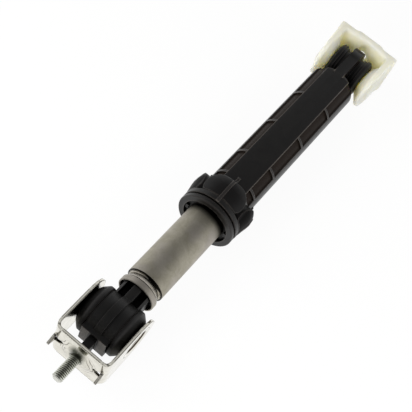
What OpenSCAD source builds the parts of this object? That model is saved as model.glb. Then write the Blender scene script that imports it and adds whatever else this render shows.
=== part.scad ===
// Friction damper: a steel tube slides in a moulded housing against a greased foam lining.
// The damper lies along X. The steel bracket's seat is at X = 0, and both pivots turn about Y.

/* [Lengths along the damper] */
// Seat face of the steel bracket to its pivot
bracket_reach = 24.8; // [24:0.1:30]
// Steel bracket's pivot to the lip of the tube
eye_to_tube = 18.8; // [17.5:0.1:24]
// Bare tube between its lip and the housing's mouth, as it lies
bare_tube = 58.7; // [45:0.1:62]
// Housing's mouth to the upper pivot
housing_reach = 149.9; // [146:0.1:180]
// Length of the sliding tube
tube_len = 122.4; // [110:0.1:124]

/* [Sliding tube] */
// Outer radius of the tube
tube_r = 11; // [10.6:0.1:11.4]
// Wall of the tube
tube_wall = 1; // [0.8:0.05:1.2]
// Length of the lip in front of the rolled groove
lip_len = 3.4; // [3:0.1:4.5]
// Length of the rolled groove
groove_len = 4.4; // [4:0.1:6]
// Depth of the rolled groove
groove_depth = 1.6; // [1:0.1:1.7]

/* [Steel bracket] */
// Thickness of the sheet
sheet_t = 1.5; // [1.2:0.1:1.8]
// Width of the folded bracket along Y
bracket_w = 33; // [32:0.5:36]
// Height of the bracket along Z
bracket_h = 27; // [25:0.5:29]
// Inner radius of the folds
fold_r = 2.8; // [2:0.1:3.2]
// Radius of the sheet's corners at the folds
blank_corner = 5; // [3:0.5:6]
// Inner radius of the drawn cup in each ear
cup_r = 6.1; // [5.5:0.1:6.4]
// Radius at the mouth of the drawn cup
cup_mouth_r = 8.7; // [8:0.1:9]
// Depth of the drawn cup
cup_depth = 4.6; // [4:0.1:5]
// Height of the lanced locating tabs
tab_h = 4.7; // [3.5:0.1:4.8]
// Width of a locating tab at its fold
tab_w = 6; // [4:0.1:7]
// Distance of each tab's outer face from the middle
tab_y = 15.5; // [15.2:0.1:15.7]

/* [Stud] */
// Outer radius of the stud's thread
stud_r = 3; // [2.5:0.5:3]
// Length of the stud from the seat face
stud_len = 15; // [12:0.5:30]
// Radius of the stud's round head
stud_head_r = 6; // [5:0.1:6.2]
// Radius at the foot of the boss pressed round the stud
boss_r = 8.8; // [8.4:0.1:9]
// Height of the boss pressed round the stud
boss_h = 1.5; // [1:0.1:1.6]

/* [Rod eye] */
// Width of the eye between its rubber flanges
eye_w = 15.7; // [14:0.1:16.5]
// Outer radius of the eye
eye_r = 12.9; // [12.6:0.1:13.2]
// Radius of the hole for the rubber
eye_hole_r = 9.8; // [9.4:0.1:10.2]
// Width of the middle rib and of the tongue
rib_w = 4.7; // [4:0.1:5.5]
// Radius of the tongue's end about the pivot
tongue_r = 21.6; // [20:0.1:21.8]
// Distance of the heel faces from the pivot
heel_reach = 14.3; // [13.8:0.1:15]
// Half height of the heels
heel_h = 7.1; // [5:0.1:7.6]
// Half height of the tongue between the heels
tongue_h = 4.2; // [3:0.1:5]
// Half height of the pocketed stem
stem_h = 8; // [7:0.1:8.4]
// Wall of the stem's floor and sides
stem_wall = 1.5; // [1.2:0.1:1.8]
// Distance of the plug's front face from the groove
plug_recess = 1.2; // [1.1:0.1:2.4]
// Length of the plug inside the tube
plug_len = 26; // [20:0.5:32]
// Wall of the plug behind the groove
plug_wall = 3; // [2.5:0.1:3.5]

/* [Rubber bushes] */
// Flange radius of the lower rubber
lower_flange_r = 13.4; // [13:0.1:13.6]
// Radius of the upper rubber discs
upper_disc_r = 12; // [11.5:0.1:12.5]
// Overall width of the upper rubber along Y
upper_rubber_w = 22.5; // [20:0.1:23]
// Wall of each steel spacer sleeve
sleeve_wall = 1.2; // [1:0.1:1.4]
// Outer radius of the upper spacer sleeve
upper_sleeve_r = 6.3; // [6:0.1:6.5]

/* [Housing] */
// Radius of the collar at the mouth
collar_r = 17.6; // [17.2:0.1:18]
// Radius of the mouth and of the lining chamber
mouth_r = 14; // [13.6:0.1:14.2]
// Length of the collar and its band
band_len = 7.1; // [6.5:0.1:8]
// Length of the petalled bell
bell_len = 21.1; // [20.5:0.1:24]
// Largest radius of the petals
petal_r = 18.95; // [18.5:0.05:19.5]
// Radius of the bell between the petals
valley_r = 15.5; // [15.3:0.1:17]
// Half angle of a petal at its widest
petal_half_angle = 41; // [38:1:45]
// How much narrower each side of a petal is at the band
petal_taper = 2.4; // [1:0.1:3.5]
// Radius of the round far ends of the petals
petal_corner = 8.5; // [5:0.5:10]
// Width of the thin rib along each petal
petal_rib_w = 1.8; // [1.4:0.1:2.4]
// Radius of the long body
body_r = 14.2; // [14:0.1:14.8]
// Radius of the bore
bore_r = 12; // [11.9:0.1:12.3]
// Radius of the body in its channels
channel_r = 13.1; // [13:0.1:13.3]
// Half width of the upper and lower pads
pad_z_half = 6; // [5:0.1:7]
// Half width of the side pads
pad_y_half = 7.9; // [7:0.1:9]
// Thickness of the cross ribs in the channels
cross_rib_t = 1.6; // [1.2:0.1:2]
// Distances of the cross ribs from the mouth
cross_ribs = [27, 46, 75.1, 104];
// Width of the web that carries the upper eye
web_w = 6.5; // [6:0.1:7]
// Radius of the web's round end
web_r = 14.3; // [14:0.1:14.5]
// Radius of the web's hole for the rubber
web_hole_r = 8.4; // [8:0.1:8.8]

/* [Nylon bracket] */
// Inner distance between the cheeks
cheek_gap = 31; // [30:0.1:32]
// Width over the cheeks at the pivot
cheek_w = 38.8; // [37:0.1:40]
// Radius of the round end of the cheeks
cheek_r = 14.3; // [14:0.1:14.5]
// Pivot to the inner face of the base
base_gap = 15.1; // [14.9:0.1:16]
// Thickness of the base
base_t = 4.1; // [3.8:0.1:6]
// Width of the base along Y
base_w = 42; // [41:0.1:44]
// Height of the raised seat on the base
seat_t = 1.2; // [0.8:0.1:1.5]
// Half width of the raised seat
seat_half = 9.2; // [8:0.1:12]
// Half height of the four-sided pocket round the screw hole
pocket_half_z = 9.3; // [8:0.1:11]
// Half width of the four-sided pocket round the screw hole
pocket_half_y = 6.4; // [5.5:0.1:8]
// Depth of the pocket
pocket_depth = 2; // [1:0.1:2.4]
// Radius of the hole for the fixing screw
screw_hole_r = 3.3; // [3:0.1:3.6]
// Radius of the cheeks' spigots
spigot_r = 5; // [4.5:0.1:5.04]
// Radius of the thrust face round each spigot
thrust_r = 8; // [7.6:0.1:9]
// Radius at the foot of the cone that carries the thrust face
thrust_foot_r = 13.4; // [12:0.1:13.8]

/* [Inner parts] */
// Length of the stop ring's spigot inside the tube
stop_spigot_len = 8; // [6:0.5:12]
// Thickness of the stop ring's rim
stop_rim_t = 3; // [2.5:0.1:3.5]
// Length of the guide bush
guide_len = 4; // [3.5:0.1:4.5]
// Half width of the guide bush's lugs
lug_half = 1.6; // [1.2:0.1:2]
// Depth of the guide bush behind the mouth
guide_depth = 2; // [1.5:0.1:2.2]
// Length of the foam lining
lining_len = 12; // [10:0.1:12.5]
// Gap between the ends of the lining strip
lining_gap = 1; // [0.5:0.1:2]
// Length of the end buffer
buffer_len = 5; // [4:0.1:8]

/* [Clearances] */
// Radial clearance of parts that turn or slide on each other
running = 0.06; // [0.03:0.01:0.09]
// Clearance of parts that are put together and stay
fitted = 0.05; // [0.02:0.01:0.1]
// Gap between parts that only pass each other
passing = 0.3; // [0.2:0.05:0.5]

/* [Hidden] */
$fn = 96;
eps = 0.01;

pivot_x = bracket_reach;
tube_x = pivot_x + eye_to_tube;
mouth_x = tube_x + bare_tube;
upper_x = mouth_x + housing_reach;
tube_end_x = tube_x + tube_len;

bracket_half = bracket_w / 2;
ear_in = bracket_half - sheet_t;
ear_r = bracket_h / 2;
cup_out_r = cup_r + sheet_t * 0.8;
cup_bottom_y = bracket_half - cup_depth - sheet_t;
boss_top_r = boss_r - boss_h * 1.4;
tab_root_x = sheet_t + 0.6;
stud_collar_r = stud_r + 0.5;

groove_x = tube_x + lip_len;
groove_end_x = groove_x + groove_len;
groove_spread = 0.7;
boss_steps = 6;
// Rolled groove as shares of its length and depth: a soft front, and a steep shoulder behind
groove_shape = [[0, 0], [0.05, 0.25], [0.15, 0.42], [0.45, 0.72], [0.7, 0.95], [0.8, 1], [0.88, 0.92],
    [0.96, 0.12], [1, 0]];
plug_r = tube_r - tube_wall - fitted;

lower_bore_r = cup_out_r + running;
upper_spigot_bore = spigot_r + running;
disc_y = upper_rubber_w / 2;
web_half = web_w / 2;
cheek_in = cheek_gap / 2;
cheek_out = cheek_w / 2;

guide_x = mouth_x + guide_depth;
lining_x = guide_x + guide_len + fitted;
ring_x = lining_x + lining_len + fitted;
chamber_end_x = mouth_x + bell_len - 0.4;
bell_end_x = mouth_x + bell_len;
petal_foot = valley_r * 0.58;
bore_end_x = upper_x - web_r - 7.3;
body_end_x = upper_x - web_r - 2.2;

// Turns a profile of [radius, x] points about the damper's axis
module turned(points) {
    rotate([0, 90, 0]) rotate_extrude() polygon(points);
}

// Turns a profile of [radius, y] points about a pivot at x
module turned_at(x, points) {
    translate([x, 0, 0]) rotate([-90, 0, 0]) rotate_extrude() polygon(points);
}

// Round bar along Y at x, from y0 to y1
module bar_y(x, r, y0, y1) {
    translate([x, y0, 0]) rotate([-90, 0, 0]) cylinder(r = r, h = y1 - y0);
}

// Round bar along X, from x0 to x1
module bar_x(r, x0, x1) {
    translate([x0, 0, 0]) rotate([0, 90, 0]) cylinder(r = r, h = x1 - x0);
}

// Block from x0 to x1, centred on Y and Z
module block(x0, x1, half_y, half_z) {
    translate([x0, -half_y, -half_z]) cube([x1 - x0, 2 * half_y, 2 * half_z]);
}

// Both sides of something built on the +Y side
module both_sides() {
    children();
    mirror([0, 1, 0]) children();
}

// Outline of the folded sheet in X and Y, offset inwards by d
module fold_outline(d) {
    r = fold_r + sheet_t - d;
    intersection() {
        union() {
            translate([d + r, -bracket_half + d]) square([bracket_reach + ear_r, bracket_w - 2 * d]);
            translate([d, -bracket_half + d + r]) square([2 * r, bracket_w - 2 * d - 2 * r]);
            for (side = [-1, 1]) translate([d + r, side * (bracket_half - d - r)]) circle(r = r);
        }
        translate([0, -bracket_half]) square([bracket_reach + ear_r, bracket_w]);
    }
}

// Rectangle of half sizes a and b with round corners
module soft_rectangle(a, b, corner) {
    square([2 * a, 2 * (b - corner)], center = true);
    square([2 * (a - corner), 2 * b], center = true);
    for (i = [-1, 1], j = [-1, 1]) translate([i * (a - corner), j * (b - corner)]) circle(r = corner);
}

// Side view of the bracket in X and Z
module ear_outline() {
    translate([pivot_x / 2, 0]) soft_rectangle(pivot_x / 2, ear_r, blank_corner);
    translate([blank_corner, -ear_r]) square([pivot_x - blank_corner, bracket_h]);
    translate([pivot_x, 0]) circle(r = ear_r);
}

// The blank's round corners, seen along X on the plate and along Y on the ears
module blank_envelope() {
    translate([-1, 0, 0]) rotate([90, 0, 90]) linear_extrude(pivot_x)
        soft_rectangle(bracket_half, ear_r, blank_corner);
    translate([0, bracket_half, 0]) rotate([90, 0, 0]) linear_extrude(bracket_w) ear_outline();
}

// Rolled groove as [radius, x] points on a surface of radius r. Inside the wall it spreads a little
function groove_curve(r, spread = 0) = [for (p = groove_shape)
    [r - groove_depth * p[1], groove_x - spread / 2 + (groove_len + spread * 1.5) * p[0]]];

module folded_sheet() {
    intersection() {
        translate([0, 0, -ear_r]) linear_extrude(bracket_h) difference() {
            fold_outline(0);
            fold_outline(sheet_t);
            translate([pivot_x, -ear_in]) square([ear_r + 1, 2 * ear_in]);
        }
        blank_envelope();
    }
}

// Drawn cup of one ear: its metal, then its hollow
module cup_metal() {
    turned_at(pivot_x, [[0, cup_bottom_y], [cup_out_r - 0.8, cup_bottom_y],
        [cup_out_r, cup_bottom_y + 0.8], [cup_out_r, ear_in - 0.9], [cup_out_r + 0.9, ear_in],
        [cup_out_r + 0.9, ear_in + eps], [0, ear_in + eps]]);
}

module cup_hollow() {
    bend = cup_mouth_r - cup_r;
    turned_at(pivot_x, concat([[0, bracket_half - cup_depth], [cup_r - 0.5, bracket_half - cup_depth],
        [cup_r, bracket_half - cup_depth + 0.5]], [for (a = [90 : -15 : 0])
        [cup_mouth_r - bend * sin(a), bracket_half - bend * (1 - cos(a))]],
        [[cup_mouth_r, bracket_half + 1], [0, bracket_half + 1]]));
}

// Three-sided tab cut from the plate and folded out, and the opening that it leaves
module locating_tab() {
    translate([0, tab_y, 0]) rotate([90, 0, 0]) linear_extrude(sheet_t)
        polygon([[tab_root_x, -tab_w / 2], [tab_root_x, tab_w / 2], [0, tab_w / 2],
            [-tab_h, 0.6], [-tab_h, -0.6], [0, -tab_w / 2]]);
}

module tab_opening() {
    translate([-1, tab_y - sheet_t, 0]) rotate([0, 90, 0]) linear_extrude(tab_root_x + 1.5)
        polygon([[-tab_w / 2, 0], [tab_w / 2, 0], [0.6, -tab_h], [-0.6, -tab_h]]);
}

// Pressed side of the boss from its top radius to its foot, as [radius, x] points with soft shoulders
function boss_slope(top, foot, x) = [for (i = [0 : boss_steps])
    [top + (foot - top) * i / boss_steps, x - boss_h * (1 + cos(180 * i / boss_steps)) / 2]];

module base_bracket() {
    color("lightgray") difference() {
        union() {
            folded_sheet();
            both_sides() cup_metal();
            turned(concat([[0, -boss_h]], boss_slope(boss_top_r, boss_r, 0), [[boss_r, eps], [0, eps]]));
            both_sides() locating_tab();
        }
        both_sides() cup_hollow();
        both_sides() tab_opening();
        turned(concat([[0, sheet_t - boss_h]],
            boss_slope(stud_head_r + fitted, stud_head_r + fitted + boss_h * 0.6, sheet_t),
            [[stud_head_r + fitted + boss_h * 0.6, sheet_t + eps], [0, sheet_t + eps]]));
        bar_x(stud_collar_r + fitted, -boss_h - 1, sheet_t + 1);
    }
}

module mounting_stud() {
    color("darkgray") turned([[0, -stud_len], [stud_r - 0.8, -stud_len], [stud_r, -stud_len + 0.8],
        [stud_r, -boss_h], [stud_collar_r, -boss_h], [stud_collar_r, sheet_t - boss_h],
        [stud_head_r, sheet_t - boss_h], [stud_head_r, sheet_t - 0.3], [stud_head_r - 0.3, sheet_t],
        [0, sheet_t]]);
}

// One half of the lower rubber: a mushroom whose shank fills the eye
module lower_bush() {
    inner = eye_w / 2 + fitted;
    turned_at(pivot_x, [[lower_bore_r, 0.2], [eye_hole_r - fitted, 0.2], [eye_hole_r - fitted, inner],
        [lower_flange_r - 0.4, inner], [lower_flange_r, inner + 0.4], [lower_flange_r, inner + 2.6],
        [lower_flange_r - 0.5, inner + 3.2], [lower_flange_r - 2.8, inner + 5.6],
        [cup_out_r + 1.3, ear_in - passing], [lower_bore_r + 1, ear_in - passing],
        [lower_bore_r, ear_in - passing - 1]]);
}

module lower_bush_left() {
    color("dimgray") lower_bush();
}

module lower_bush_right() {
    color("dimgray") mirror([0, 1, 0]) lower_bush();
}

module lower_sleeve() {
    half = cup_bottom_y - passing;
    outer = lower_bore_r - fitted;
    inner = outer - sleeve_wall;
    color("gray") turned_at(pivot_x, [[inner, -half], [outer, -half], [outer, half], [inner, half]]);
}

// Open stem that joins the eye to the plug inside the tube: middle rib, floor and two thin outer walls
module eye_stem() {
    x0 = pivot_x + eye_r * 0.55;
    x1 = groove_x - plug_recess / 2;
    intersection() {
        bar_x(plug_r - passing, x0, x1);
        union() {
            block(x0, x1, eye_w / 2, stem_wall);
            block(x0, x1, rib_w / 2, tube_r);
            both_sides() translate([x0, eye_w / 2 - stem_wall, -stem_h])
                cube([x1 - x0, stem_wall, 2 * stem_h]);
        }
    }
}

// Plug that fills the tube from just behind its lip, and follows the rolled groove
module eye_plug() {
    front_x = groove_x - plug_recess;
    end_x = tube_x + plug_len;
    turned(concat([[0, front_x], [plug_r - 0.6, front_x], [plug_r, front_x + 0.6]],
        groove_curve(plug_r, groove_spread), [[plug_r, end_x - 1.2], [plug_r - 1.2, end_x], [0, end_x]]));
}

module rod_eye() {
    color("#262626") difference() {
        union() {
            bar_y(pivot_x, eye_r, -eye_w / 2, eye_w / 2);
            bar_y(pivot_x, eye_r + 1.3, -rib_w / 2, rib_w / 2);
            block(pivot_x - heel_reach, pivot_x, eye_w / 2, heel_h);
            intersection() {
                block(pivot_x - tongue_r - 1, pivot_x, rib_w / 2, tongue_h);
                bar_y(pivot_x, tongue_r, -rib_w, rib_w);
            }
            eye_stem();
            eye_plug();
        }
        bar_y(pivot_x, eye_hole_r, -eye_w, eye_w);
        bar_x(plug_r - plug_wall, groove_end_x + 1.5, tube_x + plug_len + 1);
    }
}

module sliding_tube() {
    in_r = tube_r - tube_wall;
    end = tube_end_x;
    inside = groove_curve(in_r, groove_spread);
    last = len(inside) - 1;
    color("#9a958a") turned(concat([[in_r, tube_x + 0.4], [in_r + 0.3, tube_x], [tube_r - 0.4, tube_x],
        [tube_r, tube_x + 0.4]], groove_curve(tube_r), [[tube_r, end - 0.3], [tube_r - 0.3, end],
        [in_r, end]], [for (i = [last : -1 : 0]) inside[i]]));
}

// Stop ring on the tube's inner end: it turns on the tube and catches on the lining ring
module tube_stop_ring() {
    spigot = tube_r - tube_wall - running;
    hole = spigot - 2;
    rim = bore_r - running * 2;
    x0 = tube_end_x + 0.1;
    in_x = x0 - stop_spigot_len;
    out_x = x0 + stop_rim_t;
    color("#d8d4c4") turned([[hole, in_x], [spigot - 0.5, in_x], [spigot, in_x + 0.5], [spigot, x0],
        [rim, x0], [rim, out_x - 0.5], [rim - 0.5, out_x], [hole, out_x]]);
}

// Guide bush in the mouth: a plain ring with lugs that show in front of it
module guide_bush() {
    outer = mouth_r - fitted;
    inner = tube_r + running;
    color("#2b2b2b") {
        difference() {
            union() {
                bar_x(outer, guide_x, guide_x + guide_len);
                intersection() {
                    bar_x(outer, guide_x - 1.2, guide_x + 1);
                    for (a = [30 : 60 : 150]) rotate([a, 0, 0])
                        block(guide_x - 2, guide_x + 1, lug_half, mouth_r);
                }
            }
            bar_x(inner, guide_x - 3, guide_x + guide_len + 1);
            bar_x(inner + 0.9, guide_x - 3, guide_x);
        }
    }
}

module friction_lining() {
    color("#8a7a5c") difference() {
        bar_x(mouth_r - fitted, lining_x, lining_x + lining_len);
        bar_x(tube_r + running, lining_x - 1, lining_x + lining_len + 1);
        translate([lining_x - 1, -lining_gap / 2, -mouth_r - 1])
            cube([lining_len + 2, lining_gap, mouth_r]);
    }
}

module lining_ring() {
    color("#d8d4c4") difference() {
        bar_x(mouth_r - fitted, ring_x, chamber_end_x - fitted);
        bar_x(tube_r + running, ring_x - 1, chamber_end_x + 1);
    }
}

module end_buffer() {
    r = bore_r - fitted;
    color("dimgray") turned([[0, bore_end_x - buffer_len + 1], [3, bore_end_x - buffer_len + 1],
        [4, bore_end_x - buffer_len], [r - 1, bore_end_x - buffer_len],
        [r, bore_end_x - buffer_len + 1], [r, bore_end_x - fitted], [0, bore_end_x - fitted]]);
}

// Plan of one petal in X and across, before it is cut from the bell's round profile
module petal_plan() {
    wide = petal_r * sin(petal_half_angle);
    narrow = wide - petal_taper;
    x0 = mouth_x + band_len - 1;
    x1 = bell_end_x - petal_corner - 0.3;
    bend_x = (x0 + x1 + 1) / 2;
    bend_y = wide - petal_taper * 0.2;
    polygon([[x0, -narrow], [x0, narrow], [bend_x, bend_y], [x1, wide], [x1, -wide], [bend_x, -bend_y]]);
    for (side = [-1, 1]) translate([x1, side * (wide - petal_corner)]) circle(r = petal_corner);
    translate([x1, petal_corner - wide]) square([petal_corner, 2 * (wide - petal_corner)]);
}

module petal_bell() {
    x0 = mouth_x + band_len;
    intersection() {
        turned([[0, x0], [collar_r, x0], [collar_r + 0.3, x0 + 1], [petal_r - 0.25, bell_end_x - 8],
            [petal_r, bell_end_x - 5.2], [petal_r - 0.5, bell_end_x - 1.4],
            [petal_r - 1.5, bell_end_x], [0, bell_end_x]]);
        for (a = [0 : 90 : 270]) rotate([a, 0, 0]) translate([0, 0, petal_foot])
            linear_extrude(petal_r) petal_plan();
    }
}

// Collar, band and the round core under the petals, with the narrow groove behind the collar
module bell_core() {
    groove = mouth_x + 2.5;
    turned([[0, mouth_x], [collar_r - 0.4, mouth_x], [collar_r, mouth_x + 0.4], [collar_r, groove],
        [collar_r - 0.7, groove + 0.2], [collar_r - 0.7, groove + 1.1], [collar_r, groove + 1.3],
        [collar_r, mouth_x + band_len - 0.4], [collar_r - 0.4, mouth_x + band_len],
        [valley_r, mouth_x + band_len], [valley_r, bell_end_x - 3], [body_r, bell_end_x - 0.6],
        [0, bell_end_x]]);
}

// Long body: a round core, four raised pads and the cross ribs between them
module long_body() {
    soft = 3;
    turned([[0, bell_end_x - 4], [channel_r, bell_end_x - 4], [channel_r, body_end_x - soft],
        [channel_r - 1.2, body_end_x - 0.8], [channel_r - 3, body_end_x], [0, body_end_x]]);
    intersection() {
        turned([[0, bell_end_x - 4], [body_r, bell_end_x - 4], [body_r, body_end_x - soft],
            [body_r - 1, body_end_x - 0.8], [body_r - 2.2, body_end_x], [0, body_end_x]]);
        union() {
            block(bell_end_x - 4, body_end_x, pad_y_half, body_r + 1);
            block(bell_end_x - 4, body_end_x, body_r + 1, pad_z_half);
            for (x = cross_ribs) translate([mouth_x + x, 0, 0])
                block(-cross_rib_t / 2, cross_rib_t / 2, body_r + 1, body_r + 1);
        }
    }
}

// Thin rib along the middle of each petal, with a bump at its far end
module axial_rib() {
    x0 = mouth_x + band_len * 0.6;
    x1 = bell_end_x + 5.5;
    for (a = [0 : 90 : 270]) rotate([a, 0, 0]) {
        intersection() {
            translate([x0, -petal_rib_w / 2, 0]) cube([x1 - x0, petal_rib_w, petal_r + 1]);
            turned([[0, x0], [collar_r + 0.1, x0], [collar_r + 0.3, mouth_x + band_len],
                [petal_r + 0.05, bell_end_x - 8], [petal_r + 0.35, bell_end_x - 5.2],
                [petal_r - 0.1, bell_end_x - 1.2], [body_r + 2.4, bell_end_x + 0.4],
                [body_r + 0.5, bell_end_x + 2.4], [body_r + 0.8, x1 - 1], [body_r, x1], [0, x1]]);
        }
    }
}

// Middle web that carries the upper eye
module eye_web() {
    block(bore_end_x + 1, upper_x, web_half, web_r - 0.3);
    bar_y(upper_x, web_r, -web_half, web_half);
    bar_y(upper_x, web_hole_r + 2.2, -web_half - 1, web_half + 1);
}

module housing() {
    color("#232323") difference() {
        union() {
            bell_core();
            petal_bell();
            long_body();
            axial_rib();
            eye_web();
        }
        bar_x(mouth_r, mouth_x - 1, chamber_end_x);
        bar_x(bore_r, mouth_x, bore_end_x);
        bar_y(upper_x, web_hole_r, -body_r, body_r);
    }
}

// One half of the upper rubber: stepped discs beside the web and a shank in its hole
module upper_bush() {
    y0 = web_half + 1 + fitted;
    step = (disc_y - y0) / 4;
    hole = upper_sleeve_r + fitted;
    shank = web_hole_r - fitted;
    turned_at(upper_x, [[hole, 0.2], [shank, 0.2], [shank, y0], [upper_disc_r - 1.8, y0],
        [upper_disc_r - 1.8, y0 + step], [upper_disc_r - 0.9, y0 + step],
        [upper_disc_r - 0.9, y0 + 2 * step], [upper_disc_r, y0 + 2 * step], [upper_disc_r, disc_y - 1.5],
        [upper_disc_r - 1.5, disc_y], [hole, disc_y]]);
}

module upper_bush_left() {
    color("#202020") upper_bush();
}

module upper_bush_right() {
    color("#202020") mirror([0, 1, 0]) upper_bush();
}

module upper_sleeve() {
    color("gray") difference() {
        bar_y(upper_x, upper_sleeve_r, -disc_y, disc_y);
        bar_y(upper_x, upper_spigot_bore, -disc_y - 1, disc_y + 1);
    }
}

// Side view of the nylon bracket in X and Z
module cheek_outline() {
    translate([upper_x, 0]) circle(r = cheek_r);
    translate([upper_x, -cheek_r]) square([base_gap + base_t, 2 * cheek_r]);
}

// Plan of half the base in X and Y: its inner face slants towards the middle
module base_plan() {
    inner = upper_x + base_gap;
    polygon([[inner + 0.5, -eps], [inner - 1.2, cheek_in], [inner - 1.2, base_w / 2 - 1],
        [inner, base_w / 2], [inner + base_t, base_w / 2], [inner + base_t, -eps]]);
}

// Plan of one cheek in X and Y: thin at its free end, thick at the base
module cheek_plan() {
    free_x = upper_x - cheek_r;
    polygon([[free_x, cheek_in + 0.4], [upper_x, cheek_in], [upper_x + base_gap, cheek_in],
        [upper_x + base_gap + base_t, cheek_in], [upper_x + base_gap + base_t, base_w / 2],
        [upper_x + base_gap, base_w / 2], [upper_x + base_gap - 2.5, cheek_out + 0.6],
        [upper_x, cheek_out], [free_x + 4, cheek_out - 1], [free_x, cheek_in + 2]]);
}

module upper_bracket() {
    inner_x = upper_x + base_gap;
    outer_x = inner_x + base_t;
    color("#e6e3d4") difference() {
        union() {
            intersection() {
                translate([0, base_w, 0]) rotate([90, 0, 0]) linear_extrude(2 * base_w) cheek_outline();
                union() {
                    both_sides() translate([0, 0, -cheek_r]) linear_extrude(2 * cheek_r) cheek_plan();
                    both_sides() translate([0, 0, -cheek_r]) linear_extrude(2 * cheek_r) base_plan();
                }
            }
            block(outer_x - 1, outer_x + seat_t, seat_half, cheek_r);
            both_sides() turned_at(upper_x, [[0, passing], [spigot_r - 0.6, passing],
                [spigot_r, passing + 0.6], [spigot_r, disc_y + passing], [thrust_r, disc_y + passing],
                [thrust_foot_r, cheek_in], [thrust_foot_r, cheek_in + 0.5], [0, cheek_in + 0.5]]);
            both_sides() turned_at(upper_x, [[0, cheek_out - 2], [thrust_r + 0.5, cheek_out - 2],
                [thrust_r - 0.2, cheek_out], [thrust_r - 1, cheek_out + 0.5], [0, cheek_out + 0.5]]);
        }
        bar_x(screw_hole_r, inner_x - 1, outer_x + seat_t + 1);
        translate([inner_x - 2, 0, 0]) rotate([90, 0, 90]) linear_extrude(pocket_depth + 2)
            polygon([[0, pocket_half_z], [pocket_half_y, 0], [0, -pocket_half_z], [-pocket_half_y, 0]]);
    }
}

mounting_stud();
base_bracket();
lower_bush_left();
lower_bush_right();
lower_sleeve();
rod_eye();
sliding_tube();
tube_stop_ring();
guide_bush();
friction_lining();
lining_ring();
end_buffer();
housing();
upper_bush_left();
upper_bush_right();
upper_sleeve();
upper_bracket();
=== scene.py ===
import bpy
import math
from mathutils import Matrix, Vector


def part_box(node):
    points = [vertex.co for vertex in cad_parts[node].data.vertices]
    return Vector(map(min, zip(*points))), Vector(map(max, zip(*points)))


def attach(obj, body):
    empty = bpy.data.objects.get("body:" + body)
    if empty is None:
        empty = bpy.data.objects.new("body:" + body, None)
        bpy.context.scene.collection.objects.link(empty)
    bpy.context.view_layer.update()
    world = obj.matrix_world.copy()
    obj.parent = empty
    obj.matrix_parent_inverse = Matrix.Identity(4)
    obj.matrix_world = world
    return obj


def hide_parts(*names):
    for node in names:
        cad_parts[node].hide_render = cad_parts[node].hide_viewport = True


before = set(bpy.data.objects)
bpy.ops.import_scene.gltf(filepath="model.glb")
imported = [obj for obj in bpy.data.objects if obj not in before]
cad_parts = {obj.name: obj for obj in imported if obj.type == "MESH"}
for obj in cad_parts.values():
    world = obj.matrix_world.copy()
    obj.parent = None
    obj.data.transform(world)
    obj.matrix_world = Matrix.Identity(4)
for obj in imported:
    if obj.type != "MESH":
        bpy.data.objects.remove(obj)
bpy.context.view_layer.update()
mm = 0.001
print("frame loaded")

# The looks of one friction damper. X runs from the steel foot to the white saddle, and both pivots lie along Y.
# Everything below is in millimetres until it is handed to Blender, which works in metres here.


# Places that the frame gives, so that nothing has to be fitted
def boxOf(node):
    low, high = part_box(node)
    return Vector(low) / mm, Vector(high) / mm


def middleX(node):
    low, high = boxOf(node)
    return (low.x + high.x) / 2


tubeLow, tubeHigh = boxOf("sliding_tube")
housingLow, housingHigh = boxOf("housing")
footLow, footHigh = boxOf("base_bracket")
tipX = boxOf("mounting_stud")[0].x
lowerPivotX = middleX("lower_bush_left")
upperPivotX = middleX("upper_bush_left")
lipX = tubeLow.x                # the tube's open end, by the rod eye
mouthX = housingLow.x           # the housing's open end, which the tube slides into
bellEnd = mouthX + 21.1         # where the petals of the bell end
eyeHalf = 7.85                  # from the middle to where the lower rubbers meet the rod eye

# Worked out once from edges measured in the photograph
cameraSettings = {
    "place": (-145.652, -61.309, 412.108),      # mm
    "lookAt": (110.614, 5.179, 0),              # mm
    "up": (0.617034, 0.620629, 0.483828),
    "lens": 79.48, "sensor": 36,                # mm
    "clip": (0.01, 20),                         # m
}


def addCamera(s):
    place = Vector(s["place"]) * mm
    back = (place - Vector(s["lookAt"]) * mm).normalized()
    right = Vector(s["up"]).cross(back).normalized()
    up = back.cross(right)
    data = bpy.data.cameras.new("photoCamera")
    data.lens = s["lens"]
    data.sensor_width = s["sensor"]
    data.clip_start, data.clip_end = s["clip"]
    camera = bpy.data.objects.new("photoCamera", data)
    camera.matrix_world = Matrix.Translation(place) @ Matrix((right, up, back)).transposed().to_4x4()
    bpy.context.scene.collection.objects.link(camera)
    bpy.context.scene.camera = camera


addCamera(cameraSettings)
print("camera placed")


# sRGB hex to the linear values that Blender wants
def colour(hexText):
    parts = [int(hexText[i:i + 2], 16) / 255 for i in (1, 3, 5)]
    return [c / 12.92 if c <= 0.04045 else ((c + 0.055) / 1.055) ** 2.4 for c in parts] + [1]


# Gives a node's inputs their values. A value is a plain one, or a pair of another node and its output's name
def setInputs(node, inputs):
    for socket, value in inputs.items():
        if isinstance(value, tuple) and isinstance(value[0], bpy.types.Node):
            node.id_data.links.new(value[0].outputs[value[1]], node.inputs[socket])
        else:
            node.inputs[socket].default_value = value


# One node with its settings, its inputs and, on a colour ramp, its stops
def addNode(tree, kind, inputs=None, stops=None, **settings):
    node = tree.nodes.new("ShaderNode" + kind)
    for name, value in settings.items():
        setattr(node, name, value)
    setInputs(node, inputs or {})
    if stops:
        elements = node.color_ramp.elements
        while len(elements) < len(stops):
            elements.new(0.5)
        for element, (place, value) in zip(elements, stops):
            element.position = place
            element.color = colour(value)
    return node


def newMaterial(name):
    material = bpy.data.materials.new(name)
    material.use_nodes = True
    return material, material.node_tree, material.node_tree.nodes["Principled BSDF"]


# Noise scale for a grain of a given size in mm
def grain(size):
    return 1 / (size * mm)


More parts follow.
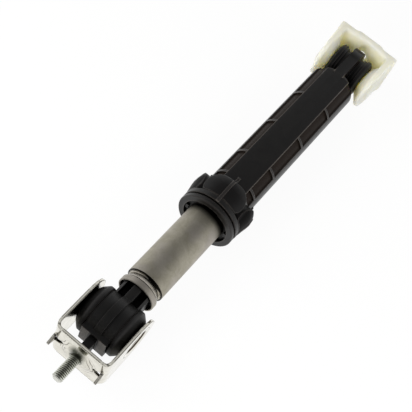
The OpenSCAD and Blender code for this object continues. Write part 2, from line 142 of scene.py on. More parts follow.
# The measures of a point on a piece: its place, its distance from the damper's two middle planes, from the
# nearer of them, and from the damper's axis
def whereabouts(tree):
    place = (addNode(tree, "TexCoord"), "Object")
    parts = addNode(tree, "SeparateXYZ", {"Vector": place})
    across = addNode(tree, "VectorMath", {0: place, 1: (0, 1, 1)}, operation="MULTIPLY")
    at = {"place": place, "x": (parts, "X"), "y": (parts, "Y"), "z": (parts, "Z"),
          "sideways": (addNode(tree, "Math", {0: (parts, "Y")}, operation="ABSOLUTE"), "Value"),
          "upwards": (addNode(tree, "Math", {0: (parts, "Z")}, operation="ABSOLUTE"), "Value"),
          "radius": (addNode(tree, "VectorMath", {0: (across, "Vector")}, operation="LENGTH"), "Value")}
    nearer = addNode(tree, "Math", {0: at["sideways"], 1: at["upwards"]}, operation="MINIMUM")
    at["nearPlane"] = (nearer, "Value")
    return at


# 1 inside a region and 0 elsewhere. For each measure that bounds it, a region gives two places in mm and, where
# they are softer than 0.1 mm, how softly they end
def region(tree, at, bounds):
    inside = 1
    for measure, (low, high, *given) in bounds.items():
        soft = given[0] if given else 0.1
        half = (high - low) / 2
        away = addNode(tree, "Math", {0: at[measure], 1: (low + high) / 2 * mm}, operation="SUBTRACT")
        size = addNode(tree, "Math", {0: (away, "Value")}, operation="ABSOLUTE")
        within = addNode(tree, "MapRange", {"Value": (size, "Value"), "From Min": (half + soft) * mm,
                                            "From Max": (half - soft) * mm})
        inside = (addNode(tree, "Math", {0: inside, 1: (within, "Result")}, operation="MULTIPLY"), "Value")
    return inside


# 1 along the outer edges of a piece, found by feeling for the next face from within
def outerEdges(tree, reach, first=0.06, full=0.3):
    within = addNode(tree, "AmbientOcclusion", {"Distance": reach * mm}, samples=8, inside=True, only_local=True)
    edge = addNode(tree, "MapRange", {"Value": (within, "AO"), "From Min": 1 - first, "From Max": 1 - full})
    return edge, "Result"


# 1 deep in folds, grooves and pockets
def folds(tree, reach, first=0.25, full=0.65):
    around = addNode(tree, "AmbientOcclusion", {"Distance": reach * mm}, samples=8)
    fold = addNode(tree, "MapRange", {"Value": (around, "AO"), "From Min": 1 - first, "From Max": 1 - full})
    return fold, "Result"


# Layers laid over a ground, each with a mask and the colour, or the number, that holds where the mask is 1
def layered(tree, ground, layers, kind="RGBA"):
    for mask, over in layers:
        over = colour(over) if isinstance(over, str) else over
        ground = (addNode(tree, "Mix", {"Factor": mask, "A": ground, "B": over}, data_type=kind), "Result")
    return ground


# Zinc plate on rolled and pressed sheet: bright, pale and cloudy, with faint rolling lines. The cut edges are
# duller, with a painted dark reflection as a line along each corner, and painted shade in fine dark rings round
# the cups and in loops beside the boss. The rolling lines are drawn 0.5 mm apart, coarser than the real ones, so
# that they show
def zincSheet():
    s = {
        "pale": "#e6e3d8", "dull": "#d0cdc1", "cloud": 5, "cloudStops": (0.3, 0.62),        # mm
        "roll": 0.5, "rollStretch": (0.08, 1, 1), "rollBump": 0.12, "rollDepth": 0.05,      # mm
        "rough": (0.08, 0.16), "cutRough": 0.5, "pressRough": 0.32, "cutMetal": 0.5,
        # line: a painted dark reflection along each corner
        "line": "#3f382f", "lineReach": (0.7, 0.08, 0.28),          # mm, and where the line begins and is full
        "shadow": "#2b2721", "foldReach": (1.6, 0.4, 0.8),          # the same
        "cutEdge": "#c6c4ba", "rims": {"upwards": (footHigh.z - 0.7, footHigh.z + 1)},
        "tab": "#aba89f", "tabDullness": 0.6, "tabs": {"x": (footLow.x - 1, -0.5), "sideways": (13.5, 30)},
        "boss": {"radius": (-1, 9.5, 1.5), "x": (-5, 0.2)},
        # Painted shade, brown: two rings in each drawn cup, a thin circle round its mouth, and the loops by the boss
        "ring": "#3f342a",
        "cupMouth": {"fromPivot": (-1, 8.9)}, "cupRings": ((0.4, 1.1, 0.08), (1.5, 4.2, 0.08)),     # mm deep, soft
        "pressRing": {"fromPivot": (9.3, 9.9, 0.15), "sideways": (footHigh.y - 0.3, footHigh.y + 1)},
        "loops": {"overTurn": (0, 0.5, 0.15), "radius": (6.6, 11, 0.6), "sideways": (5.5, 12, 1), "x": (-3, 0.6)},
        "loopGap": 1.9, "loopWave": 6, "loopBend": 5, "loopShare": 0.7,     # mm
        # Painted shade at the thread's root, and painted shadow in the opening that each tab was lanced from,
        # which widens towards the tab
        "rootShade": "#4e5046",
        "root": {"radius": (-3, 8.6, 1.5), "z": (1, 20, 2), "sideways": (-1, 3.8, 1.5), "x": (-4, 0.4)},
        "openingSlope": -0.51,
        "opening": {"slant": (-20, -4.15, 0.15), "x": (-0.4, 2), "sideways": (9.3, 14.6)},
    }
    material, tree, shader = newMaterial("zincPlatedSheet")
    at = whereabouts(tree)
    cloud = addNode(tree, "TexNoise", {"Vector": at["place"], "Scale": grain(s["cloud"]), "Detail": 5,
                                       "Roughness": 0.6})
    lines = addNode(tree, "Mapping", {"Vector": at["place"], "Scale": s["rollStretch"]})
    rolled = addNode(tree, "TexNoise", {"Vector": (lines, "Vector"), "Scale": grain(s["roll"]), "Detail": 3})
    tint = addNode(tree, "ValToRGB", {"Fac": (cloud, "Fac")}, list(zip(s["cloudStops"], (s["dull"], s["pale"]))))

    toPivot = addNode(tree, "VectorMath", {0: at["place"], 1: (-lowerPivotX * mm, 0, 0)}, operation="ADD")
    flat = addNode(tree, "VectorMath", {0: (toPivot, "Vector"), 1: (1, 0, 1)}, operation="MULTIPLY")
    fromPivot = addNode(tree, "VectorMath", {0: (flat, "Vector")}, operation="LENGTH")
    bend = addNode(tree, "TexNoise", {"Vector": at["place"], "Scale": grain(s["loopWave"]), "Detail": 1})
    bent = addNode(tree, "Math", {0: (bend, "Fac"), 1: s["loopBend"] * mm, 2: at["radius"]},
                   operation="MULTIPLY_ADD")
    overTurn = addNode(tree, "Math", {0: (bent, "Value"), 1: s["loopGap"] * mm}, operation="MODULO")
    slant = addNode(tree, "Math", {0: at["sideways"], 1: s["openingSlope"], 2: at["upwards"]},
                    operation="MULTIPLY_ADD")
    at |= {"fromPivot": (fromPivot, "Value"), "overTurn": (overTurn, "Value"), "slant": (slant, "Value")}

    rims, tabs, boss, loops = [region(tree, at, s[name]) for name in ("rims", "tabs", "boss", "loops")]
    faintLoops = addNode(tree, "Math", {0: loops, 1: s["loopShare"]}, operation="MULTIPLY")
    cupRings = [region(tree, at, s["cupMouth"] | {"sideways": (footHigh.y - deep, footHigh.y - shallow, soft)})
                for shallow, deep, soft in s["cupRings"]]
    tint = layered(tree, (tint, "Color"), [
        (rims, s["cutEdge"]), (tabs, s["tab"]), *((ring, s["ring"]) for ring in cupRings),
        (region(tree, at, s["pressRing"]), s["ring"]), ((faintLoops, "Value"), s["ring"]),
        (region(tree, at, s["root"]), s["rootShade"]), (region(tree, at, s["opening"]), s["shadow"]),
        # a painted dark reflection along the corners, and painted shadow deep in the folds
        (outerEdges(tree, *s["lineReach"]), s["line"]), (folds(tree, *s["foldReach"]), s["shadow"])])

    dullness = (addNode(tree, "Math", {0: tabs, 1: s["tabDullness"], 2: rims}, operation="MULTIPLY_ADD",
                        use_clamp=True), "Value")
    polish = addNode(tree, "MapRange", {"Value": (rolled, "Fac"), "To Min": s["rough"][0], "To Max": s["rough"][1]})
    rough = layered(tree, (polish, "Result"), [(boss, s["pressRough"]), (dullness, s["cutRough"])], "FLOAT")
    metal = addNode(tree, "MapRange", {"Value": dullness, "To Min": 1, "To Max": s["cutMetal"]})
    bump = addNode(tree, "Bump", {"Height": (rolled, "Fac"), "Strength": s["rollBump"],
                                  "Distance": s["rollDepth"] * mm})
    setInputs(shader, {"Base Color": tint, "Metallic": (metal, "Result"), "Roughness": rough,
                       "Normal": (bump, "Normal")})
    return material


# Zinc plate on a rolled thread: duller and greener than the sheet, with painted shade at the bottom of the
# thread and at its root. The sawn tip is pale and rough
def zincThread():
    s = {
        "pale": "#e4e5dc", "dull": "#bcbeb2", "cloud": 1.5, "cloudStops": (0.35, 0.65),     # mm
        # groove: the painted shade at the bottom of the thread
        "groove": "#6d6e62", "grooveR": 2.45, "crestR": 2.85, "rough": 0.3,                 # mm
        "sawn": "#f0f0ea", "sawnRough": 0.75, "tip": {"x": (tipX - 1, tipX + 0.5)},
        "shade": "#7c7e72", "root": {"x": (-2.6, 0.5, 0.9), "z": (-1, 9, 2)},
    }
    material, tree, shader = newMaterial("zincPlatedThread")
    at = whereabouts(tree)
    cloud = addNode(tree, "TexNoise", {"Vector": at["place"], "Scale": grain(s["cloud"]), "Detail": 4})
    tint = addNode(tree, "ValToRGB", {"Fac": (cloud, "Fac")}, list(zip(s["cloudStops"], (s["dull"], s["pale"]))))
    crest = addNode(tree, "MapRange", {"Value": at["radius"], "From Min": s["grooveR"] * mm,
                                       "From Max": s["crestR"] * mm})
    sawn = region(tree, at, s["tip"])
    shadedAndSawn = layered(tree, colour(s["groove"]), [
        ((crest, "Result"), (tint, "Color")), (region(tree, at, s["root"]), s["shade"]), (sawn, s["sawn"])])
    setInputs(shader, {"Base Color": shadedAndSawn, "Metallic": 1,
                       "Roughness": layered(tree, s["rough"], [(sawn, s["sawnRough"])], "FLOAT")})
    return material


# Drawn steel tube, dull with dried grease: mottled stains, fine draw lines, and a rolled groove that is
# burnished along its middle, with black painted shade at its shoulders. Painted shadow lies round the mouth
def drawnTube():
    s = {
        "clean": "#bcb7a8", "stain": "#9c9788", "stainStops": (0.3, 0.7), "blot": 9, "fine": 0.9,   # mm
        "fineShare": 0.25, "violet": "#b1aba8", "hue": 14, "hueStops": (0.42, 0.62), "violetShare": 0.5,
        "drawLine": 0.35, "drawStretch": (0.05, 1, 1), "drawBump": 0.15, "drawDepth": 0.04,         # mm
        "rough": (0.46, 0.58), "grooveRough": 0.25, "grooveX": (lipX + 3.25, lipX + 7.9),
        # The painted shade widens on the upper side: at the groove's back shoulder to a crescent, and at the mouth
        "tubeShade": "#1c1a17", "upSide": (0, -0.45, 0.89), "crescent": 2.0, "crescentFrom": 0.72, "crescentFull": 0.98,
        "ragged": 0.5, "mouthShade": 1.9,                                                           # mm
        "shadedBands": ({"x": (lipX + 3.25, lipX + 3.8, 0.12)},
                   {"reached": (lipX + 7.65, lipX + 30), "x": (lipX, lipX + 7.9)},
                   {"shaded": (mouthX - 0.3, mouthX + 60, 1.7), "x": (lipX, mouthX + 2.5, 1)}),
    }
    material, tree, shader = newMaterial("drawnSteelTube")
    at = whereabouts(tree)
    blot = addNode(tree, "TexNoise", {"Vector": at["place"], "Scale": grain(s["blot"]), "Detail": 6,
                                      "Roughness": 0.65, "Distortion": 0.6})
    fine = addNode(tree, "TexNoise", {"Vector": at["place"], "Scale": grain(s["fine"]), "Detail": 3})
    hue = addNode(tree, "TexNoise", {"Vector": at["place"], "Scale": grain(s["hue"]), "Detail": 2})
    lengthwise = addNode(tree, "Mapping", {"Vector": at["place"], "Scale": s["drawStretch"]})
    drawn = addNode(tree, "TexNoise", {"Vector": (lengthwise, "Vector"), "Scale": grain(s["drawLine"]), "Detail": 2})
    mottle = layered(tree, (blot, "Fac"), [(s["fineShare"], (fine, "Fac"))], "FLOAT")
    tint = addNode(tree, "ValToRGB", {"Fac": mottle}, list(zip(s["stainStops"], (s["stain"], s["clean"]))))
    violet = addNode(tree, "MapRange", {"Value": (hue, "Fac"), "From Min": s["hueStops"][0],
                                        "From Max": s["hueStops"][1], "To Max": s["violetShare"]})

    upper = addNode(tree, "VectorMath", {0: at["place"], 1: s["upSide"]}, operation="DOT_PRODUCT")
    swell = addNode(tree, "MapRange", {"Value": (upper, "Value"), "From Min": s["crescentFrom"] * tubeHigh.z * mm,
                                       "From Max": s["crescentFull"] * tubeHigh.z * mm,
                                       "To Max": s["crescent"] * mm}, interpolation_type="SMOOTHSTEP")
    ragged = addNode(tree, "Math", {0: (fine, "Fac"), 1: s["ragged"] * mm, 2: (swell, "Result")},
                     operation="MULTIPLY_ADD")
    reached = addNode(tree, "Math", {0: at["x"], 1: (ragged, "Value")}, operation="ADD")
    shaded = addNode(tree, "Math", {0: (upper, "Value"), 1: s["mouthShade"] / tubeHigh.z, 2: at["x"]},
                     operation="MULTIPLY_ADD")
    at |= {"reached": (reached, "Value"), "shaded": (shaded, "Value")}
    # painted shade in three bands: at the groove's shoulders and round the mouth
    tint = layered(tree, (tint, "Color"), [((violet, "Result"), s["violet"]),
                                           *((region(tree, at, where), s["tubeShade"]) for where in s["shadedBands"])])

    dull = addNode(tree, "MapRange", {"Value": (blot, "Fac"), "To Min": s["rough"][1], "To Max": s["rough"][0]})
    inGroove = region(tree, at, {"x": s["grooveX"]})
    bump = addNode(tree, "Bump", {"Height": (drawn, "Fac"), "Strength": s["drawBump"],
                                  "Distance": s["drawDepth"] * mm})
    setInputs(shader, {"Base Color": tint, "Metallic": 1, "Normal": (bump, "Normal"),
                       "Roughness": layered(tree, (dull, "Result"), [(inGroove, s["grooveRough"])], "FLOAT")})
    return material


# The three blacks. A patch is a region, its colour and its gloss, and the outer edges get a painted highlight
# where "highlightSpan" says, or everywhere. Grain and reach are in mm
onBody = (bellEnd + 0.5, housingHigh.x)
onPetals = (mouthX + 7.3, bellEnd + 0.3)
byLowerPivot = (lowerPivotX - 20, lowerPivotX + 20)
blacks = {
    "housing": {
        "dark": "#070606", "pale": "#0f0e0d", "rough": 0.36, "gloss": 0.36, "grain": 0.4,
        "edge": "#4a4541", "edgeReach": 0.6, "foldReach": 3.5,
        "highlightSpan": {"x": (mouthX - 1, upperPivotX - 17, 2)},
        "patches": (
            # paler and browner, with little gloss, in the channels
            ({"radius": (11, 13.65), "x": onBody}, "#201a16", 0.05),
            ({"radius": (15, 22), "x": onPetals}, "#0b0a0a", 0.25),
            # a painted highlight along the rims of the pads
            ({"sideways": (7.55, 8.1), "upwards": (11, 20), "x": (bellEnd + 0.5, upperPivotX - 17, 2)},
             "#4a4541", 0.4),
            # the dull flanks of the bell, painted shade in the groove behind the mouth, and a painted highlight on
            # the thin ribs
            ({"sideways": (13.5, 40, 1.5), "x": onPetals}, "#0b0a0a", 0.02),
            ({"radius": (14.5, 18), "x": (mouthX + 2.0, mouthX + 4.2, 0.15)}, "#020202", 0.02),
            ({"nearPlane": (-1, 0.85), "x": (mouthX + 4.5, bellEnd + 5)}, "#191716", 0.45),
        ),
        # Where a relief takes the curve of this radius off the pads, which look flat
        "levelled": {"sideways": (-1, 7.9), "upwards": (11, 20), "x": onBody}, "levelledR": 16,
    },
    "eye": {
        "dark": "#070707", "pale": "#0e0d0c", "rough": 0.45, "gloss": 0.35, "grain": 0.35,
        "edge": "#1b1918", "edgeReach": 0.6, "foldReach": 4,
        "patches": (
            # painted shade where the lower rubbers meet the rod eye
            ({"sideways": (eyeHalf - 0.5, eyeHalf + 0.2), "x": (lowerPivotX - 13, lowerPivotX + 13)},
             "#020202", 0.02),
        ),
        # Painted light on the heels' faces: paler, with fine upright streaks
        "litHeels": {"x": (lowerPivotX - 14.4, lowerPivotX - 14.2, 0.02), "sideways": (3.1, 12)},
        "litHeelDark": "#5a554f", "litHeelPale": "#78716a", "litHeelStops": (0.35, 0.65), "streak": 0.5,
        "streakStretch": (1, 1, 0.1),
    },
    "rubber": {
        "dark": "#070707", "pale": "#0d0c0c", "rough": 0.5, "gloss": 0.35, "grain": 0.3,
        "edge": "#262321", "edgeReach": 0.8, "foldReach": 3,
        # Painted shade at the joint with the rod eye, and a painted highlight on the outer corner beside it
        "patches": (
            ({"sideways": (eyeHalf - 0.5, eyeHalf + 0.75, 0.15), "x": byLowerPivot}, "#020202", 0.02),
            ({"sideways": (eyeHalf + 1.7, eyeHalf + 3.0, 0.4), "x": byLowerPivot}, "#1b1a1a", 0.4),
        ),
    },
}
blackForm = {
    "flow": 9, "flowStops": (0.35, 0.7), "roughSpread": (0.08, -0.06),      # mm, and added to the roughness
    "grainBump": 0.25, "grainDepth": 0.06,                                  # mm
    # fold: the colour and gloss of the painted shade in folds
    "fold": "#020202", "foldGloss": 0.05,
}


# Moulded black plastic or rubber: satin, with a fine spark-eroded grain and faint flow marks. Its outer edges
# get a painted highlight, and its folds a painted black shade with little gloss. The real grain is near 0.05 mm
# and is drawn at 0.3 to 0.4 mm, so that it shows
def mouldedBlack(name, s, form):
    material, tree, shader = newMaterial(name)
    at = whereabouts(tree)
    flow = addNode(tree, "TexNoise", {"Vector": at["place"], "Scale": grain(form["flow"]), "Detail": 4,
                                      "Distortion": 1.2})
    fine = addNode(tree, "TexNoise", {"Vector": at["place"], "Scale": grain(s["grain"]), "Detail": 2})
    tint = addNode(tree, "ValToRGB", {"Fac": (flow, "Fac")}, list(zip(form["flowStops"], (s["dark"], s["pale"]))))
    layers = [(region(tree, at, where), over, gloss) for where, over, gloss in s["patches"]]
    if "litHeels" in s:
        upright = addNode(tree, "Mapping", {"Vector": at["place"], "Scale": s["streakStretch"]})
        streak = addNode(tree, "TexNoise", {"Vector": (upright, "Vector"), "Scale": grain(s["streak"]), "Detail": 2})
        heelLight = addNode(tree, "ValToRGB", {"Fac": (streak, "Fac")},
                        list(zip(s["litHeelStops"], (s["litHeelDark"], s["litHeelPale"]))))
        layers.append((region(tree, at, s["litHeels"]), (heelLight, "Color"), s["gloss"]))
    # a painted highlight along the outer edges, then painted shade deep in the folds
    edges = addNode(tree, "Math", {0: outerEdges(tree, s["edgeReach"]), 1: region(tree, at, s.get("highlightSpan", {}))},
                    operation="MULTIPLY")
    layers.append(((edges, "Value"), s["edge"], s["gloss"]))
    layers.append((folds(tree, s["foldReach"]), form["fold"], form["foldGloss"]))
    shine = addNode(tree, "MapRange", {"Value": (flow, "Fac"), "To Min": s["rough"] + form["roughSpread"][0],
                                       "To Max": s["rough"] + form["roughSpread"][1]})
    bump = addNode(tree, "Bump", {"Height": (fine, "Fac"), "Strength": form["grainBump"],
                                  "Distance": form["grainDepth"] * mm})
    if "levelled" in s:
        square = addNode(tree, "Math", {0: at["y"], 1: at["y"]}, operation="MULTIPLY")
        height = addNode(tree, "Math", {0: (square, "Value"), 1: 2 * s["levelledR"] * mm}, operation="DIVIDE")
        relief = addNode(tree, "Bump", {"Height": (height, "Value"), "Distance": 1,
                                        "Strength": region(tree, at, s["levelled"])})
        setInputs(bump, {"Normal": (relief, "Normal")})
    setInputs(shader, {
        "Base Color": layered(tree, (tint, "Color"), [(mask, over) for mask, over, gloss in layers]),
        "Specular IOR Level": layered(tree, s["gloss"], [(mask, gloss) for mask, over, gloss in layers], "FLOAT"),
        "Roughness": (shine, "Result"), "Normal": (bump, "Normal")})
    return material


# Natural nylon, moulded: milky, and light passes a little way in. The pocket gets painted light, a pale cream
# deep in its folds. Its grain is drawn coarser than the real one, so that it shows
def naturalNylon():
    s = {
        "white": "#d6d5ca", "cream": "#d0cec2", "cloud": 12, "cloudStops": (0.3, 0.65),     # mm
        "pocket": "#f6f1d0", "pocketReach": (14, 0.35, 0.85),       # mm, and where it begins and is full
        "grain": 0.5, "grainBump": 0.12, "grainDepth": 0.05, "rough": 0.45,                 # mm
        "lightReach": 9, "lightTint": (1.0, 0.92, 0.68),                                    # mm
    }
    material, tree, shader = newMaterial("mouldedNaturalNylon")
    at = whereabouts(tree)
    cloud = addNode(tree, "TexNoise", {"Vector": at["place"], "Scale": grain(s["cloud"]), "Detail": 3})
    fine = addNode(tree, "TexNoise", {"Vector": at["place"], "Scale": grain(s["grain"]), "Detail": 2})
    tint = addNode(tree, "ValToRGB", {"Fac": (cloud, "Fac")}, list(zip(s["cloudStops"], (s["cream"], s["white"]))))
    bump = addNode(tree, "Bump", {"Height": (fine, "Fac"), "Strength": s["grainBump"],
                                  "Distance": s["grainDepth"] * mm})
    setInputs(shader, {
        "Base Color": layered(tree, (tint, "Color"), [(folds(tree, *s["pocketReach"]), s["pocket"])]),
        "Roughness": s["rough"], "Subsurface Weight": 1, "Subsurface Radius": s["lightTint"],
        "Subsurface Scale": s["lightReach"] * mm, "Normal": (bump, "Normal")})
    return material


# Greased polyurethane foam: brown, open cells that stay damp and half dull
def greasedFoam():
    s = {"deep": "#4d3f28", "skin": "#8d7a55", "cellStops": (0.1, 0.7), "rough": 0.55,
         "cell": 0.7, "cellBump": 0.5, "cellDepth": 0.2}      # mm
    material, tree, shader = newMaterial("greasedFoam")
    place = addNode(tree, "TexCoord")
    cells = addNode(tree, "TexVoronoi", {"Vector": (place, "Object"), "Scale": grain(s["cell"])})
    tint = addNode(tree, "ValToRGB", {"Fac": (cells, "Distance")}, list(zip(s["cellStops"], (s["deep"], s["skin"]))))
    bump = addNode(tree, "Bump", {"Height": (cells, "Distance"), "Strength": s["cellBump"],
                                  "Distance": s["cellDepth"] * mm})
    setInputs(shader, {"Base Color": (tint, "Color"), "Roughness": s["rough"], "Normal": (bump, "Normal")})
    return material


# Unfilled acetal, moulded, for the rings inside: creamy and smooth
def mouldedAcetal():
    s = {"cream": "#cfcab8", "pale": "#dedacb", "cloud": 4, "cloudStops": (0.3, 0.7), "rough": 0.35}      # mm
    material, tree, shader = newMaterial("mouldedAcetal")
    place = addNode(tree, "TexCoord")
    cloud = addNode(tree, "TexNoise", {"Vector": (place, "Object"), "Scale": grain(s["cloud"]), "Detail": 3})
    tint = addNode(tree, "ValToRGB", {"Fac": (cloud, "Fac")}, list(zip(s["cloudStops"], (s["cream"], s["pale"]))))
    setInputs(shader, {"Base Color": (tint, "Color"), "Roughness": s["rough"]})
    return material


finishes = {
    "zincSheet": zincSheet(),
    "zincThread": zincThread(),
    "tube": drawnTube(),
    "housing": mouldedBlack("mouldedHousingPlastic", blacks["housing"], blackForm),
    "eye": mouldedBlack("mouldedEyePlastic", blacks["eye"], blackForm),
    "rubber": mouldedBlack("mouldedBlackRubber", blacks["rubber"], blackForm),
    "nylon": naturalNylon(),
    "foam": greasedFoam(),
    "acetal": mouldedAcetal(),
}
print("materials made")


def selectOnly(piece):
    bpy.ops.object.select_all(action="DESELECT")
    piece.select_set(True)
    bpy.context.view_layer.objects.active = piece


# Adds a modifier with its settings to the piece that is selected and applies it
def shapeBy(piece, name, kind, **settings):
    modifier = piece.modifiers.new(name, kind)
    for setting, value in settings.items():
        setattr(modifier, setting, value)
    bpy.ops.object.modifier_apply(modifier=modifier.name)


def giveFinish(piece, finish):
    piece.data.materials.clear()
    piece.data.materials.append(finishes[finish])


# Hides the CAD node that a piece stands for, and lets the piece ride on its body
def standFor(piece, node, body):
    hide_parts(node)
    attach(piece, body)


# A copy of a CAD node's mesh, merged into one skin, that stands for the node
def mergedCopy(name, node, body, finish):
    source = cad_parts[node]
    piece = source.copy()
    piece.data = source.data.copy()
    piece.name = piece.data.name = name
    bpy.context.scene.collection.objects.link(piece)
    selectOnly(piece)
    bpy.ops.object.mode_set(mode="EDIT")
    bpy.ops.mesh.select_all(action="SELECT")
    bpy.ops.mesh.remove_doubles(threshold=0.0001 * mm)
    bpy.ops.object.mode_set(mode="OBJECT")
    bpy.ops.mesh.customdata_custom_splitnormals_clear()
    giveFinish(piece, finish)
    standFor(piece, node, body)
    return piece


# Sharp edges rounded with a narrow bevel, as a mould or a deburring drum leaves them
def roundEdges(piece, radius):
    selectOnly(piece)
    bpy.ops.object.mode_set(mode="EDIT")
    bpy.ops.mesh.select_all(action="SELECT")
    bpy.ops.mesh.dissolve_limited(angle_limit=math.radians(0.5))
    bpy.ops.object.mode_set(mode="OBJECT")
    shapeBy(piece, "roundedEdges", "BEVEL", width=radius * mm, segments=2, limit_method="ANGLE",
            angle_limit=math.radians(30), use_clamp_overlap=False)
    bpy.ops.object.shade_smooth_by_angle(angle=math.radians(35))
    # The wide faces keep their own normals, so that a long flat strip doesn't take a tilt from its bevels
    shapeBy(piece, "facesLead", "WEIGHTED_NORMAL", mode="FACE_AREA", weight=100, keep_sharp=True)


# The whole skin laid out in even cells and smoothed, for forms whose edges run into folds and cones
def softenSkin(piece, cell, rounds):
    selectOnly(piece)
    shapeBy(piece, "evenCells", "REMESH", mode="VOXEL", voxel_size=cell * mm)
    shapeBy(piece, "softEdges", "SMOOTH", factor=0.5, iterations=rounds)
    bpy.ops.object.shade_smooth()


# Further smoothing of the part of a piece where a test of the place in mm holds
def wearWhere(piece, holds, rounds):
    for vertex in piece.data.vertices:
        vertex.select = holds(vertex.co / mm)
    selectOnly(piece)
    bpy.ops.object.mode_set(mode="EDIT")
    bpy.ops.mesh.select_mode(type="VERT")
    bpy.ops.mesh.vertices_smooth(factor=0.5, repeat=rounds)
    bpy.ops.object.mode_set(mode="OBJECT")


# Node: piece, body, finish and radius of the edges in mm
bevelled = {
    "rod_eye": ("rodEye", "plunger", "eye", 0.25),
    "lower_bush_left": ("lowerRubberLeft", "plunger", "rubber", 0.25),
    "lower_bush_right": ("lowerRubberRight", "plunger", "rubber", 0.25),
    "sliding_tube": ("slidingTube", "plunger", "tube", 0.1),
    "housing": ("mouldedHousing", "damper_housing", "housing", 0.2),
    "guide_bush": ("guideBush", "damper_housing", "eye", 0.15),
    "upper_bush_left": ("upperRubberLeft", "damper_housing", "rubber", 0.2),
    "upper_bush_right": ("upperRubberRight", "damper_housing", "rubber", 0.2),
}
# Node: piece, body, finish, size of a cell in mm and rounds of smoothing
softened = {
    "base_bracket": ("footSheet", "foot", "zincSheet", 0.3, 2),
    "upper_bracket": ("nylonSaddle", "saddle", "nylon", 0.5, 12),
}
# Piece: where it is softer still, and how many rounds. The saddle's outer corners, clear of the screw's seat,
# and the foot's plate, which the press has drawn round the boss
softer = {
    "nylonSaddle": (lambda p: p.x > upperPivotX + 9 and math.hypot(p.y, p.z) > 6.5, 20),
    "footSheet": (lambda p: p.x < 0.3 and 3.9 < math.hypot(p.y, p.z) < 11, 50),
}
for node, (name, body, finish, radius) in bevelled.items():
    roundEdges(mergedCopy(name, node, body, finish), radius)
for node, (name, body, finish, cell, rounds) in softened.items():
    softenSkin(mergedCopy(name, node, body, finish), cell, rounds)
for name, (holds, rounds) in softer.items():
    wearWhere(bpy.data.objects[name], holds, rounds)
print("pieces rounded")


# A grid rolled round the damper's axis. Each station is a place along X and a radius, and shape changes that
# radius with the place and the turn from 0 to 1. A station of no radius closes an end
def rolledGrid(name, stations, aroundSteps, shape):
    bpy.ops.object.select_all(action="DESELECT")
    bpy.ops.mesh.primitive_grid_add(x_subdivisions=len(stations) - 1, y_subdivisions=aroundSteps, size=1)
    piece = bpy.context.object
    piece.name = piece.data.name = name
    for vertex in piece.data.vertices:
        x, radius = stations[round((vertex.co.x + 0.5) * (len(stations) - 1))]
        turn = vertex.co.y + 0.5
        radius = shape(x, radius, turn) if radius else 0
        vertex.co = Vector((x, radius * math.cos(turn * math.tau), radius * math.sin(turn * math.tau))) * mm
    selectOnly(piece)
    bpy.ops.object.mode_set(mode="EDIT")
    bpy.ops.mesh.select_all(action="SELECT")
    bpy.ops.mesh.remove_doubles(threshold=0.0005 * mm)
    bpy.ops.mesh.normals_make_consistent(inside=False)
    bpy.ops.object.mode_set(mode="OBJECT")
    return piece


# The stud: a rolled M6 thread with a chamfered tip, and the smooth collar and head that sit in the plate
thread = {
    "radius": 3.0, "pitch": 1.0, "depth": 0.6, "crest": 0.14,               # mm, and the flat share of a crest
    "aroundSteps": 56, "stepsPerTurn": 12,
    "tipLength": 0.9, "tipFade": 1.4, "rootFade": 1.0, "rootX": -1.7,       # mm
    "collarX": -1.5, "collarR": 3.5, "headR": 6.0, "headThick": 1.5, "headBevel": 0.3,      # mm
}


def threadedStud(s):
    radius = s["radius"]
    steps = round((s["rootX"] - tipX) / s["pitch"] * s["stepsPerTurn"])
    stations = [(tipX, 0), (tipX, radius - s["tipLength"])]
    stations += [(tipX + (s["rootX"] - tipX) * i / steps, radius) for i in range(1, steps + 1)]
    stations += [(s["collarX"], radius), (s["collarX"], s["collarR"]), (0, s["collarR"]), (0, s["headR"]),
                 (s["headThick"] - s["headBevel"], s["headR"]), (s["headThick"], s["headR"] - s["headBevel"]),
                 (s["headThick"], 0)]

    def helix(x, r, turn):
        if x >= s["rootX"] or r < radius:
            return r
        phase = ((x - tipX) / s["pitch"] - turn) % 1
        groove = max(0, 1 - abs(2 * phase - 1) / (1 - s["crest"]))
        fade = min(1, (x - tipX) / s["tipFade"], (s["rootX"] - x) / s["rootFade"])
        chamfer = max(0, s["tipLength"] - (x - tipX))
        return min(r - s["depth"] * groove * fade, r - chamfer)

    piece = rolledGrid("footStud", stations, s["aroundSteps"], helix)
    bpy.ops.object.shade_smooth_by_angle(angle=math.radians(40))
    giveFinish(piece, "zincThread")
    standFor(piece, "mounting_stud", "foot")


threadedStud(thread)
print("stud threaded")

innerFinishes = {
    "lower_sleeve": "zincThread", "upper_sleeve": "zincThread", "tube_stop_ring": "acetal",
    "lining_ring": "acetal", "friction_lining": "foam", "end_buffer": "rubber",
}
for node, finish in innerFinishes.items():
    giveFinish(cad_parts[node], finish)
print("inner pieces finished")

studio = {
    "floorSize": 6000, "floorMiddle": (110, 0), "floorColour": "#f2f2f0", "floorRough": 0.9,        # mm
    "floorGlow": 0.93, "floorInMetal": 1.0,                     # how white the eye and a metal see the floor
    "skySeen": 1.0,
    "skyLow": 0.9, "skyHigh": 0.22, "sideTop": 0.3, "roofEdge": 0.85,       # bright at the sides, grey above
    "frontDark": 0.15, "frontFull": -0.85, "frontEdge": -0.6,               # dark in front, where one stands
    "skirt": 0.2, "skirtFull": 0.03, "skirtEdge": 0.1,          # thin dark edge all round, where the floor ends
}


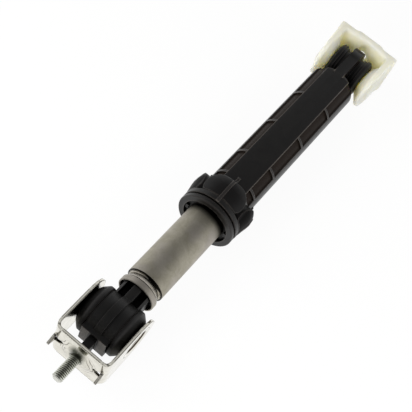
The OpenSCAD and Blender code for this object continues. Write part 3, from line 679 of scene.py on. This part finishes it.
def addFloor(s):
    bpy.ops.object.select_all(action="DESELECT")
    bpy.ops.mesh.primitive_plane_add(size=s["floorSize"] * mm,
                                     location=Vector((*s["floorMiddle"], housingLow.z)) * mm)
    floor = bpy.context.object
    floor.name = "paleFloor"
    material, tree, shader = newMaterial("paleFloor")
    setInputs(shader, {"Base Color": colour(s["floorColour"]), "Roughness": s["floorRough"]})
    path = addNode(tree, "LightPath")
    mirrored = addNode(tree, "Math", {0: (path, "Is Glossy Ray"), 1: s["floorInMetal"]}, operation="MULTIPLY")
    seen = addNode(tree, "Math", {0: (path, "Is Camera Ray"), 1: s["floorGlow"], 2: (mirrored, "Value")},
                   operation="MULTIPLY_ADD")
    seen = addNode(tree, "Math", {0: (seen, "Value"), 1: (path, "Is Transmission Ray")}, operation="MAXIMUM")
    glow = addNode(tree, "Emission", {"Color": colour("#ffffff"), "Strength": 1})
    mixed = addNode(tree, "MixShader", {0: (seen, "Value"), 1: (shader, "BSDF"), 2: (glow, "Emission")})
    setInputs(tree.nodes["Material Output"], {"Surface": (mixed, "Shader")})
    floor.data.materials.append(material)


# A room that is graded by direction, and white where it is seen itself
def lightWorld(s):
    world = bpy.data.worlds.new("softRoom")
    bpy.context.scene.world = world
    world.use_nodes = True
    tree = world.node_tree
    path = addNode(tree, "LightPath")
    seen = addNode(tree, "Math", {0: (path, "Is Camera Ray"), 1: (path, "Is Transmission Ray")}, operation="MAXIMUM")
    toSky = addNode(tree, "TexCoord")
    way = addNode(tree, "SeparateXYZ", {"Vector": (toSky, "Generated")})
    level = addNode(tree, "MapRange", {"Value": (way, "Z"), "From Min": s["sideTop"], "From Max": s["roofEdge"],
                                       "To Min": s["skyLow"], "To Max": s["skyHigh"]},
                    interpolation_type="SMOOTHSTEP")
    front = addNode(tree, "MapRange", {"Value": (way, "X"), "From Min": s["frontFull"], "From Max": s["frontEdge"],
                                       "To Min": s["frontDark"], "To Max": 1})
    skirt = addNode(tree, "MapRange", {"Value": (way, "Z"), "From Min": s["skirtFull"], "From Max": s["skirtEdge"],
                                       "To Min": s["skirt"], "To Max": 1})
    both = addNode(tree, "Math", {0: (level, "Result"), 1: (front, "Result")}, operation="MULTIPLY")
    whole = addNode(tree, "Math", {0: (both, "Value"), 1: (skirt, "Result")}, operation="MULTIPLY")
    room = addNode(tree, "Background", {"Color": colour("#ffffff"), "Strength": (whole, "Value")})
    white = addNode(tree, "Background", {"Color": colour("#ffffff"), "Strength": s["skySeen"]})
    mixed = addNode(tree, "MixShader", {0: (seen, "Value"), 1: (room, "Background"), 2: (white, "Background")})
    setInputs(tree.nodes["World Output"], {"Surface": (mixed, "Shader")})


# Large soft boxes. Metal shows the room and none of their bright squares
lamps = {
    "frontLamp": {"place": (-520, 60, 230), "size": 420, "watts": 3.8},         # mm
    "windowLamp": {"place": (-60, 460, 420), "size": 420, "watts": 2.2},
    "fillLamp": {"place": (200, -480, 330), "size": 500, "watts": 1.6},
}
lampTarget = Vector((130, 0, 0))


def addLamp(name, s):
    data = bpy.data.lights.new(name, "AREA")
    data.shape = "SQUARE"
    data.size = s["size"] * mm
    data.energy = s["watts"]
    lamp = bpy.data.objects.new(name, data)
    lamp.visible_glossy = False
    lamp.location = Vector(s["place"]) * mm
    lamp.rotation_euler = (lampTarget * mm - lamp.location).to_track_quat("-Z", "Y").to_euler()
    bpy.context.scene.collection.objects.link(lamp)


addFloor(studio)
lightWorld(studio)
for lampName, lampSettings in lamps.items():
    addLamp(lampName, lampSettings)
bpy.context.scene.view_settings.view_transform = "Standard"
print("studio lit")
